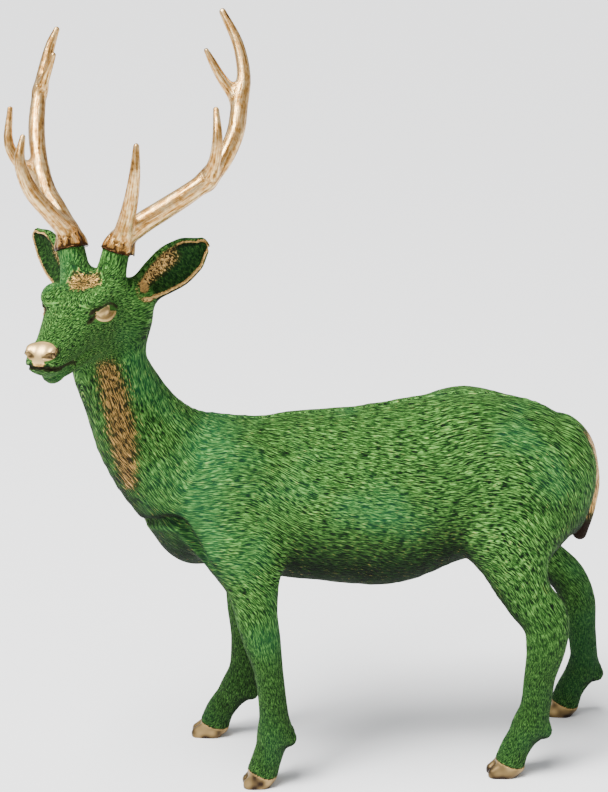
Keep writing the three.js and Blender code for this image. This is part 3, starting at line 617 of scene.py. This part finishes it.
# The tuft on the forehead fans out from a point 16 mm behind the one between the eyes.
TUFT_ROOT = (-16, 0, 0)
from_tuft = near_face - TUFT_ROOT
fan, reach = np.arctan2(from_tuft[:, 1], -from_tuft[:, 0]), np.hypot(from_tuft[:, 0], from_tuft[:, 1])
tuft_length = 15 + 4 * np.cos(fan) + 2.5 * wobble(np.column_stack([fan * 5, fan * 0]), 5)
on_forehead = (near_face[:, 2] > 8) & (near_face[:, 0] > -40)
tuft = (1 - gentle(reach, tuft_length * 0.6, tuft_length * 1.05)) * on_forehead
lie = np.where((on_forehead & (reach < tuft_length))[:, None], np.column_stack([reach, fan * 3.2]), lie)
tuft_gold = tuft * 0.44
gilding = np.maximum.reduce([eyeball_gold, lid_gold, nose_gold, lip_gold, ear_gold, ear_root_gold * 0.8,
                             throat_gold * 0.42, tail_gold * 0.5, tuft_gold, hoof_gold])

# Brown-black is painted on the tip of the tail. Painted shade darkens the nostrils, the mouth, the tear
# groove and the cleft of the hooves, and a painted shadow of the upper lid lies in a line over the eye.
# Brown is rubbed over the hooves, darker towards the soles, and thinly over the throat and the eyes.
# Painted shade in the nostrils, the mouth, the tear groove and the cleft of the hooves.
nostril_shade = (1 - gentle(NOSTRIL["depth"](near_face), -0.2, 0.5)) * (nose_pad < 1.6)
tail_tip = (1 - gentle(TAIL["depth"](skin), 1, 4)) * (1 - gentle(skin[:, 2], 206, 222)) * (skin[:, 0] > 215)
# A painted shadow of the upper lid, in a line over the eye.
upper_lid_shadow = (1 - gentle(np.abs(almond - 1.2), 0.1, 0.26)) * gentle(above_eye, -1, 0.5) * (near_face[:, 1] > 15)
cut_shade = 1 - gentle(np.minimum(MOUTH["depth"](near_face), TEAR_GROOVE["depth"](near_face)), 0, 0.8)
hoof_rub = 0.7 + 0.35 * wobble(skin / 6, 6) + 0.3 * (1 - gentle(skin[:, 2], 0.5, 6))
brown_paint_and_shade = np.maximum.reduce([tail_tip, nostril_shade, eyeball_gold * 0.25, upper_lid_shadow * 0.9, cut_shade * 0.9,
                             cleft_shade * 0.9, throat_gold * 0.35, hoof_gold * np.clip(hoof_rub, 0, 1)])

# Painted shade: the green is darkened on all that faces down, less on the face, on the legs, more on
# the far side, in the crease of the brisket and in the hollows of the ears. In the photograph some of
# this may be shade.
painted_shade = np.maximum.reduce([gentle(-normal[:, 2], -0.1, 0.6) * (1 - 0.7 * in_face), inside_ear * 0.8,
                            (1 - gentle(skin[:, 2], 60, 200)) * (0.5 + 0.15 * (skin[:, 1] > 0)),
                            (1 - gentle(np.abs(brisket_fold(skin)), 0, 5)) * 0.7])
low, high = solid_box("stag_body")
skin = np.clip(skin, low, high)
put_back(body, skin)


def keep(obj, name, kind, values):
    """A value at each vertex, for the paint to read."""
    stored = obj.data.attributes.new(name, kind, "POINT")
    field = "vector" if kind == "FLOAT_VECTOR" else "value"
    stored.data.foreach_set(field, np.ascontiguousarray(values, float).ravel())


keep(body, "combed", "FLOAT_VECTOR", np.column_stack([lie, np.zeros(len(lie))]))
keep(body, "gilding", "FLOAT", gilding)
keep(body, "bare", "FLOAT", bare)
keep(body, "short", "FLOAT", short)
keep(body, "brown_paint_and_shade", "FLOAT", brown_paint_and_shade)
keep(body, "painted_shade", "FLOAT", painted_shade)
triangles = sum(len(f.vertices) - 2 for f in body.data.polygons)
print("carved body", len(skin), "vertices", triangles, "triangles")


def linear(hexadecimal):
    """An sRGB colour as Blender's linear one."""
    parts = [int(hexadecimal[i:i + 2], 16) / 255 for i in (1, 3, 5)]
    return (*(c / 12.92 if c <= 0.04045 else ((c + 0.055) / 1.055) ** 2.4 for c in parts), 1)


def add(tree, kind, sockets=None, **settings):
    """Adds a node with its settings; a socket is given a value or another node's output."""
    made = tree.nodes.new(kind)
    for name, value in settings.items():
        setattr(made, name, value)
    for socket, value in (sockets or {}).items():
        if isinstance(value, bpy.types.NodeSocket):
            tree.links.new(value, made.inputs[socket])
        else:
            made.inputs[socket].default_value = value
    return made


# Matte acrylic paint on polyresin: a mid green coat, darker where it was washed into the grooves,
# dry-brushed pale on the ridges of the fur, and gold enamel brushed on. The single strokes of the fur
# are too fine for the mesh and are drawn here, as colour and bump.
paint = bpy.data.materials.new("dry-brushed matte green acrylic with gold enamel")
paint.use_nodes = True
tree = paint.node_tree
tree.nodes.clear()
combed = add(tree, "ShaderNodeAttribute", attribute_name="combed").outputs["Vector"]
gild = add(tree, "ShaderNodeAttribute", attribute_name="gilding").outputs["Fac"]
smooth_part = add(tree, "ShaderNodeAttribute", attribute_name="bare").outputs["Fac"]
shortness = add(tree, "ShaderNodeAttribute", attribute_name="short").outputs["Fac"]
brown_paint_and_shade_fac = add(tree, "ShaderNodeAttribute", attribute_name="brown_paint_and_shade").outputs["Fac"]
painted_shade_fac = add(tree, "ShaderNodeAttribute", attribute_name="painted_shade").outputs["Fac"]


def strokes(length, spacing, seed):
    """Wavy strokes of so many millimetres in the combed fur, as a height from 0 to 1."""
    def scaled(vector, along, across):
        return add(tree, "ShaderNodeVectorMath", {0: vector, 1: (1 / along, 1 / across, 1)},
                   operation="MULTIPLY").outputs[0]

    sway = add(tree, "ShaderNodeTexNoise", {
        "Vector": scaled(combed, 1.2 * length, 2.4 * spacing), "W": seed, "Scale": 1.0, "Detail": 1.0},
        noise_dimensions="4D").outputs["Color"]
    sway = add(tree, "ShaderNodeVectorMath", {0: sway, 1: (0.5, 0.5, 0.5)}, operation="SUBTRACT").outputs[0]
    swayed = add(tree, "ShaderNodeVectorMath", {0: sway, 1: (0.5 * length, 2.6 * spacing, 0), 2: combed},
                 operation="MULTIPLY_ADD").outputs[0]
    locks = add(tree, "ShaderNodeTexNoise", {
        "Vector": scaled(swayed, length, spacing), "Scale": 1.0, "Detail": 1.0, "Roughness": 0.7},
        noise_dimensions="2D").outputs["Fac"]
    locks = add(tree, "ShaderNodeMapRange", {
        "Value": locks, "From Min": 0.3, "From Max": 0.66}).outputs["Result"]
    hairs = add(tree, "ShaderNodeTexNoise", {
        "Vector": scaled(swayed, length / 2, spacing / 2.2), "Scale": 1.0, "Detail": 1.0},
        noise_dimensions="2D").outputs["Fac"]
    hairs = add(tree, "ShaderNodeMapRange", {
        "Value": hairs, "From Min": 0.32, "From Max": 0.68}).outputs["Result"]
    return add(tree, "ShaderNodeMix", {"Factor": 0.4, "A": locks, "B": hairs}).outputs["Result"]


# The cells of the noise are 9 by 0.9 mm on the trunk, and 3.4 by 0.65 mm on the face and legs. The fur
# comes out coarser than the real one, whose finest lines would not show.
long_fur = strokes(9.0, 0.9, 0.0)
short_fur = strokes(3.4, 0.65, 5.0)
fur = add(tree, "ShaderNodeMix", {"Factor": shortness, "A": long_fur, "B": short_fur}).outputs["Result"]
relief = add(tree, "ShaderNodeMix", {"Factor": smooth_part, "A": fur, "B": 0.55}).outputs["Result"]

# Painted sheen: a cool reflection of the light, laid in random patches about 70 mm wide, turns the green
# bluer.
object_place = add(tree, "ShaderNodeTexCoord").outputs["Object"]
sheen_patches = add(tree, "ShaderNodeTexNoise", {
    "Vector": object_place, "Scale": 14.0, "Detail": 2.0}).outputs["Fac"]
coat = add(tree, "ShaderNodeValToRGB", {"Fac": relief})
coat.color_ramp.elements[0].position = 0.16
coat.color_ramp.elements[0].color = linear("#020e03")
coat.color_ramp.elements[1].position = 0.9
coat.color_ramp.elements[1].color = linear("#70ab50")
middle = coat.color_ramp.elements.new(0.45)
middle.color = linear("#13420c")
cool_sheen = add(tree, "ShaderNodeMapRange", {"Value": sheen_patches, "From Min": 0.5, "From Max": 0.72,
                                        "To Max": 0.22}).outputs["Result"]
coat = add(tree, "ShaderNodeMix", {"Factor": cool_sheen, "A": coat.outputs["Color"], "B": linear("#2f8f5c")},
           data_type="RGBA").outputs["Result"]
# Painted shade: the green is multiplied darker where shade falls.
coat = add(tree, "ShaderNodeMix", {"Factor": painted_shade_fac, "A": coat, "B": linear("#374f33")},
           data_type="RGBA", blend_type="MULTIPLY").outputs["Result"]
# A brown glaze lies under the gold.
glazed = add(tree, "ShaderNodeMapRange", {"Value": gild, "From Min": 0.1, "From Max": 0.5,
                                          "To Max": 0.8}).outputs["Result"]
coat = add(tree, "ShaderNodeMix", {"Factor": glazed, "A": coat, "B": linear("#3b2810")},
           data_type="RGBA").outputs["Result"]
ragged = add(tree, "ShaderNodeMath", {0: relief, 1: 0.9, 2: gild}, operation="MULTIPLY_ADD").outputs[0]
gold_here = add(tree, "ShaderNodeMapRange", {
    "Value": ragged, "From Min": 0.86, "From Max": 1.0}).outputs["Result"]
gold = add(tree, "ShaderNodeValToRGB", {"Fac": relief})
gold.color_ramp.elements[0].position = 0.15
gold.color_ramp.elements[0].color = linear("#2e1c0b")
gold.color_ramp.elements[1].position = 0.6
gold.color_ramp.elements[1].color = linear("#d2a459")
burnished = add(tree, "ShaderNodeMath", {0: smooth_part, 1: 0.3}, operation="MULTIPLY").outputs[0]
gold = add(tree, "ShaderNodeMix", {"Factor": burnished, "A": gold.outputs["Color"], "B": linear("#f4dfa8")},
           data_type="RGBA").outputs["Result"]
colour = add(tree, "ShaderNodeMix", {"Factor": gold_here, "A": coat, "B": gold},
             data_type="RGBA").outputs["Result"]
# Brown-black paint, with painted shade in the recesses and a painted shadow over the eye.
colour = add(tree, "ShaderNodeMix", {"Factor": brown_paint_and_shade_fac, "A": colour, "B": linear("#24170d")},
             data_type="RGBA").outputs["Result"]
metal = add(tree, "ShaderNodeMath", {0: gold_here, 1: 0.85}, operation="MULTIPLY").outputs[0]
gloss = add(tree, "ShaderNodeMapRange", {"Value": gold_here, "To Min": 0.8, "To Max": 0.42}).outputs["Result"]
depth_of_cut = add(tree, "ShaderNodeBump", {
    "Height": relief, "Strength": 1.0, "Distance": 0.0016}).outputs["Normal"]
shine = add(tree, "ShaderNodeMapRange", {"Value": gold_here, "To Min": 0.12, "To Max": 0.5}).outputs["Result"]
surface = add(tree, "ShaderNodeBsdfPrincipled", {
    "Base Color": colour, "Metallic": metal, "Roughness": gloss, "Specular IOR Level": shine,
    "Normal": depth_of_cut})
add(tree, "ShaderNodeOutputMaterial", {"Surface": surface.outputs["BSDF"]})
body.data.materials.clear()
body.data.materials.append(paint)
for face in body.data.polygons:
    face.use_smooth = True
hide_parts("stag_body")
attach(body, "root")

# The antlers are cast apart and glued to the pedicles, where a dark seam shows under the fluted burrs. The
# modeller drew the grain along the beam and each tine; the gold enamel is wiped, so brown stays in the grain.
ANTLERS = {
    "antler_left": (
        PEDICLE_TOP,
        [(-47, 21, 37, 8.8), (-59, 36, 49, 8.8), (-72, 53, 58, 8.5), (-85, 70, 67, 8), (-97, 81, 74, 7.6),
         (-110, 90, 85, 7.4), (-126, 96, 101, 7.2), (-145, 95, 120, 7), (-159, 95, 137, 5.8),
         (-173, 87, 159, 4.8), (-183, 73, 181, 3)],
        [[(-47, 24, 42, 7.6), (-43, 37, 70, 6.2), (-41, 46, 97, 4.6), (-49, 47, 118, 2.6)],
         [(-96, 80, 72, 6.6), (-94, 90, 91, 5), (-97, 93, 108, 4.2), (-110, 89, 126, 2.6)],
         [(-147, 92, 122, 5.6), (-149, 80, 138, 4.2), (-151, 73, 150, 3.4), (-153, 68, 159, 2.2)]]),
    "antler_right": (
        PEDICLE_TOP * (1, -1, 1),
        [(-47, -19, 38, 8.8), (-59, -34, 55, 8.6), (-76, -51, 67, 7.8), (-96, -64, 84, 7),
         (-120, -75, 103, 7), (-143, -80, 124, 5.9), (-157, -79, 141, 5.3), (-168, -76, 157, 4.3),
         (-174, -72, 167, 2.8)],
        [[(-47, -22, 45, 7.6), (-41, -32, 64, 6.8), (-38, -43, 83, 6.2), (-40, -49, 106, 4.6),
          (-49, -48, 122, 2.4)],
         [(-88, -62, 77, 6), (-91, -78, 81, 5.4), (-94, -88, 97, 4.2), (-109, -90, 122, 2.4)],
         [(-144, -80, 124, 4.6), (-144, -72, 138, 3.8), (-149, -65, 154, 2.4)]]),
}
SEAT_GAP = 0.3  # mm between an antler and its pedicle

enamel = bpy.data.materials.new("wiped gold enamel on resin")
enamel.use_nodes = True
horn_tree = enamel.node_tree
horn_tree.nodes.clear()
grain_place = add(horn_tree, "ShaderNodeAttribute", attribute_name="grain").outputs["Vector"]
# The cells of the grain's noise are 25 mm long and 1.6 mm wide.
grain_cells = add(horn_tree, "ShaderNodeVectorMath", {
    0: grain_place, 1: (1 / 25, 1 / 1.6, 1 / 1.6)}, operation="MULTIPLY").outputs[0]
grain = add(horn_tree, "ShaderNodeTexNoise", {
    "Vector": grain_cells, "Scale": 1.0, "Detail": 3.0, "Roughness": 0.6}).outputs["Fac"]
horn_place = add(horn_tree, "ShaderNodeTexCoord").outputs["Object"]
pits = add(horn_tree, "ShaderNodeTexNoise", {
    "Vector": horn_place, "Scale": 260.0, "Detail": 2.0}).outputs["Fac"]
grain = add(horn_tree, "ShaderNodeMix", {"Factor": 0.3, "A": grain, "B": pits}).outputs["Result"]
seam = add(horn_tree, "ShaderNodeAttribute", attribute_name="seam").outputs["Fac"]
worn = add(horn_tree, "ShaderNodeMath", {0: grain, 1: seam}, operation="SUBTRACT").outputs[0]
horn_gold = add(horn_tree, "ShaderNodeValToRGB", {"Fac": worn})
horn_gold.color_ramp.elements[0].position = 0.33
horn_gold.color_ramp.elements[0].color = linear("#3d2710")
horn_gold.color_ramp.elements[1].position = 0.62
horn_gold.color_ramp.elements[1].color = linear("#efcf96")
halfway = horn_gold.color_ramp.elements.new(0.46)
halfway.color = linear("#b58443")
horn_gloss = add(horn_tree, "ShaderNodeMapRange", {
    "Value": grain, "From Min": 0.3, "From Max": 0.7, "To Min": 0.45, "To Max": 0.24}).outputs["Result"]
grain_cut = add(horn_tree, "ShaderNodeBump", {
    "Height": grain, "Strength": 0.7, "Distance": 0.0008}).outputs["Normal"]
horn_surface = add(horn_tree, "ShaderNodeBsdfPrincipled", {
    "Base Color": horn_gold.outputs["Color"], "Metallic": 0.9, "Roughness": horn_gloss, "Normal": grain_cut})
add(horn_tree, "ShaderNodeOutputMaterial", {"Surface": horn_surface.outputs["BSDF"]})

for name, (seat, beam, tines) in ANTLERS.items():
    antler = fine_copy(name, name + "_grained", 0.0012)
    lean = np.sign(seat[1])
    burr = roll([(seat[0] + 1.5, seat[1] - lean, seat[2] - 5, 13.5),
                 (*(seat + (0, 0, 2)), 13.5)], 4, (1, 0, 0))
    branches = [roll([(seat[0] + 1, seat[1] - lean, seat[2] - 6, 9), *beam], 1, (1, 0, 0))]
    branches += [roll(tine, 6, (1, 0, 0)) for tine in tines]
    horn_depth = pressed([*branches, burr])
    surface_points = drawn_on(horn_depth, to_head(places(antler)), 4, 1.0)

    # Where each point lies on its branch: how far along, and its direction round it.
    depths = np.stack([branch["depth"](surface_points) for branch in branches], 1)
    which = depths.argmin(1)
    grain_at = np.zeros((len(surface_points), 3))
    for number, branch in enumerate(branches):
        here = which == number
        near = surface_points[here]
        segment, share = branch["nearest"](near)
        first, along, across, level, length, girth = branch["axes"]
        off_axis = near - first[segment] - (share * length[segment])[:, None] * along[segment]
        travelled = np.concatenate([[0], np.cumsum(length)[:-1]])[segment] + share * length[segment]
        grain_at[here] = np.stack([travelled + 200 * number, (off_axis * level[segment]).sum(1),
                                   (off_axis * across[segment]).sum(1)], 1)
    ridges = wobble(grain_at / (30, 3.2, 3.2), 7)
    axis = (seat - PEDICLE_FOOT * (1, lean, 1)) / np.linalg.norm(seat - PEDICLE_FOOT * (1, lean, 1))
    height = (surface_points - seat) @ axis
    round_axis = surface_points - seat - height[:, None] * axis
    sideways = np.cross(axis, (1, 0, 0))
    sideways /= np.linalg.norm(sideways)
    angle = np.arctan2(round_axis @ sideways, round_axis @ np.cross(axis, sideways))
    on_burr = 1 - gentle(burr["depth"](surface_points), 0.5, 4)
    flutes = 0.5 - 0.5 * np.abs(np.cos(4.5 * angle + 0.8 * np.sin(2 * angle)))
    beaded = on_burr * (1 - gentle(height, 8, 16))
    surface_points = surface_points + (outward(antler) @ HEAD.T) * (
        (ridges - 1) * 0.22 * (1 - beaded) - 2.4 * flutes * beaded)[:, None]
    above = (surface_points - seat) @ axis
    sunk = above < SEAT_GAP
    surface_points[sunk] += (SEAT_GAP - above[sunk])[:, None] * axis
    low, high = solid_box(name)
    put_back(antler, np.clip(surface_points @ HEAD + BETWEEN_EYES, low, high))
    keep(antler, "grain", "FLOAT_VECTOR", grain_at)
    keep(antler, "seam", "FLOAT", (1 - gentle(above, 0.5, 3.5)) * 0.35 + beaded * flutes * 0.35)
    antler.data.materials.clear()
    antler.data.materials.append(enamel)
    for face in antler.data.polygons:
        face.use_smooth = True
    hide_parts(name)
    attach(antler, "root")
    print(name, len(antler.data.vertices), "vertices")

# A plain pale floor, soft light from above and the left, and the camera at the photograph's place.
bpy.ops.object.select_all(action="DESELECT")
FLOOR_WIDTH = 160  # in metres, so wide that its far edge does not show
bpy.ops.mesh.primitive_plane_add(size=FLOOR_WIDTH, location=(0, 0, 0))
floor = bpy.context.object
floor.name = "floor"
paper = bpy.data.materials.new("white paper backdrop")
paper.use_nodes = True
paper.node_tree.nodes["Principled BSDF"].inputs["Base Color"].default_value = linear("#fafafa")
paper.node_tree.nodes["Principled BSDF"].inputs["Roughness"].default_value = 0.9
floor.data.materials.append(paper)


def lamp(name, place, aim, size, power):
    light = bpy.data.lights.new(name, "AREA")
    light.size = size
    light.energy = power
    obj = bpy.data.objects.new(name, light)
    bpy.context.scene.collection.objects.link(obj)
    obj.location = place
    obj.rotation_euler = (Vector(aim) - Vector(place)).to_track_quat("-Z", "Y").to_euler()


sun = bpy.data.lights.new("window light", "SUN")
sun.energy = 6.5
sun.angle = math.radians(35)
window = bpy.data.objects.new("window light", sun)
bpy.context.scene.collection.objects.link(window)
window.rotation_euler = Vector((0.8, 0.5, -2.3)).to_track_quat("-Z", "Y").to_euler()
lamp("key", (-1.5, -0.9, 2.3), (-0.1, 0, 0.4), 0.8, 75)
world = bpy.data.worlds.new("studio")
bpy.context.scene.world = world
world.use_nodes = True
world.node_tree.nodes["Background"].inputs["Color"].default_value = linear("#f4f6fa")
world.node_tree.nodes["Background"].inputs["Strength"].default_value = 0.6

# The camera stands 1.3 m off, at the angle that sets the four soles on one floor.
PICTURE_HEIGHT, FOCAL_LENGTH = 792, 1640.9  # in pixels
camera = bpy.data.cameras.new("camera")
camera.sensor_width = 36
camera.lens = camera.sensor_width * FOCAL_LENGTH / PICTURE_HEIGHT
viewpoint = bpy.data.objects.new("camera", camera)
bpy.context.scene.collection.objects.link(viewpoint)
stand = Vector(np.array([-135.9, -1292.9, 670]) - ORIGIN) / 1000
target = Vector(np.array([0, 0, 323]) - ORIGIN) / 1000
viewpoint.location = stand
viewpoint.rotation_euler = (target - stand).to_track_quat("-Z", "Y").to_euler()
bpy.context.scene.camera = viewpoint
